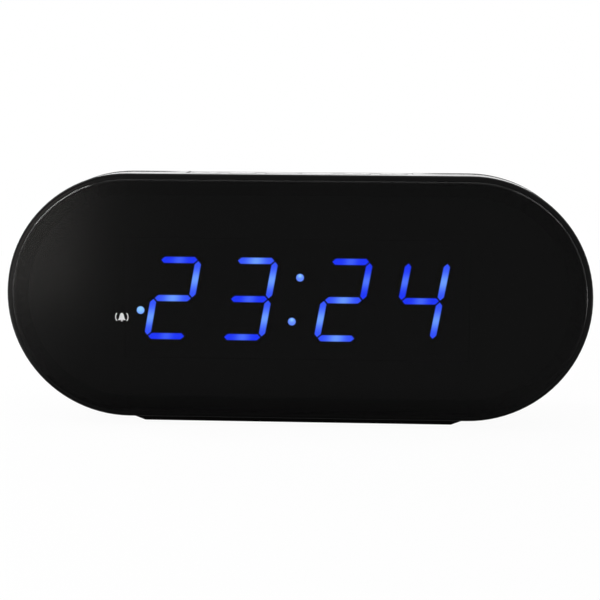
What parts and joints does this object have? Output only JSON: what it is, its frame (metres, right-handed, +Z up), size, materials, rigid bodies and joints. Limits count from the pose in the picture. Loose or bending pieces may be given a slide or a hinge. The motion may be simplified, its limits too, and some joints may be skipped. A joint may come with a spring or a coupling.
{
  "type": "digital led desk clock",
  "caption": "Low digital desk clock with round ends, a full smoked front lens, leaning blue light-bar digits, a row of top keys and a wide flat foot.",
  "frame": {"origin": "on the table under the middle of the case's width and depth", "axes": "+X to the viewer's right as the display is read, +Y from the lens to the back, +Z up"},
  "size_m": [0.18, 0.042, 0.0779],
  "materials": {
    "black_gloss_abs": "polished black ABS",
    "black_textured_abs": "fine spark texture, black ABS",
    "black_foot_abs": "satin black ABS",
    "black_key_abs": "satin black ABS",
    "smoked_acrylic": "smoked clear acrylic, polished",
    "foam_tape": "black foam adhesive tape",
    "rubber": "matt black rubber",
    "screw_steel": "zinc-plated steel",
    "display_black": "matt black",
    "blue_light": "blue light bar, lit",
    "dark_bar": "milky epoxy, unlit",
    "led_chip": "clear epoxy chip",
    "board_green": "glass-fibre board with solder mask",
    "chip_black": "moulded black",
    "capacitor_sleeve": "dark sleeve",
    "can_steel": "nickel-plated steel",
    "switch_black": "moulded black",
    "switch_plunger": "moulded black",
    "ribbon_grey": "grey ribbon cable",
    "plug_white": "white nylon",
    "pin_brass": "plated brass"
  },
  "bodies": {
    "clock": {"alarm_dot": "blue_light", "alarm_switch_body": "chip_black", "base_foot": "black_foot_abs", "buzzer": "chip_black", "capacitors": "capacitor_sleeve", "case_screws": "screw_steel", "cell_contact_minus": "can_steel", "cell_contact_plus": "can_steel", "clock_chip": "chip_black", "coin_cell": "can_steel", "colon_dots": "blue_light", "crystal": "can_steel", "display_housing": "display_black", "display_screws": "screw_steel", "foot_screws": "screw_steel", "front_case": "black_gloss_abs", "front_lens": "smoked_acrylic", "front_panel": "display_black", "hour_tens_dark_bars": "dark_bar", "hour_tens_lit_bars": "blue_light", "hour_units_dark_bars": "dark_bar", "hour_units_lit_bars": "blue_light", "key_board": "board_green", "key_board_screws": "screw_steel", "key_ribbon": "ribbon_grey", "key_switches": "switch_black", "led_chips": "led_chip", "lens_tape": "foam_tape", "link_cable": "ribbon_grey", "link_plugs": "plug_white", "main_board": "board_green", "minute_tens_dark_bars": "dark_bar", "minute_tens_lit_bars": "blue_light", "minute_units_dark_bars": "dark_bar", "minute_units_lit_bars": "blue_light", "power_board": "board_green", "power_board_screws": "screw_steel", "power_socket": "chip_black", "power_socket_pin": "pin_brass", "rear_cover": "black_textured_abs", "rubber_feet": "rubber"},
    "time_key_body": {"time_key": "black_key_abs", "time_plunger": "switch_plunger"},
    "alarm_key_body": {"alarm_key": "black_key_abs", "alarm_plunger": "switch_plunger"},
    "snooze_key_body": {"snooze_key": "black_key_abs", "snooze_plunger": "switch_plunger"},
    "hour_key_body": {"hour_key": "black_key_abs", "hour_plunger": "switch_plunger"},
    "minute_key_body": {"minute_key": "black_key_abs", "minute_plunger": "switch_plunger"},
    "alarm_switch_slider": {"alarm_switch_knob": "black_key_abs", "alarm_switch_lever": "switch_plunger"},
    "battery_cap_body": {"battery_cap": "black_textured_abs"}
  },
  "joints": [
    {"name": "time_press", "type": "slide", "parent": "clock", "child": "time_key_body", "axis": [0, 0, -1], "range_m": [0, 0.0005], "stiffness_N_per_m": 2000},
    {"name": "alarm_press", "type": "slide", "parent": "clock", "child": "alarm_key_body", "axis": [0, 0, -1], "range_m": [0, 0.0005], "stiffness_N_per_m": 2000},
    {"name": "snooze_press", "type": "slide", "parent": "clock", "child": "snooze_key_body", "axis": [0, 0, -1], "range_m": [0, 0.0005], "stiffness_N_per_m": 2000},
    {"name": "hour_press", "type": "slide", "parent": "clock", "child": "hour_key_body", "axis": [0, 0, -1], "range_m": [0, 0.0005], "stiffness_N_per_m": 2000},
    {"name": "minute_press", "type": "slide", "parent": "clock", "child": "minute_key_body", "axis": [0, 0, -1], "range_m": [0, 0.0005], "stiffness_N_per_m": 2000},
    {"name": "alarm_slide", "type": "slide", "parent": "clock", "child": "alarm_switch_slider", "axis": [1, 0, 0], "range_m": [0, 0.002]},
    {"name": "battery_cap_turn", "type": "hinge", "parent": "clock", "child": "battery_cap_body", "pos_m": [-0.036, 0.0182, 0.04015], "axis": [0, 1, 0], "range_deg": [0, 45]}
  ]
}
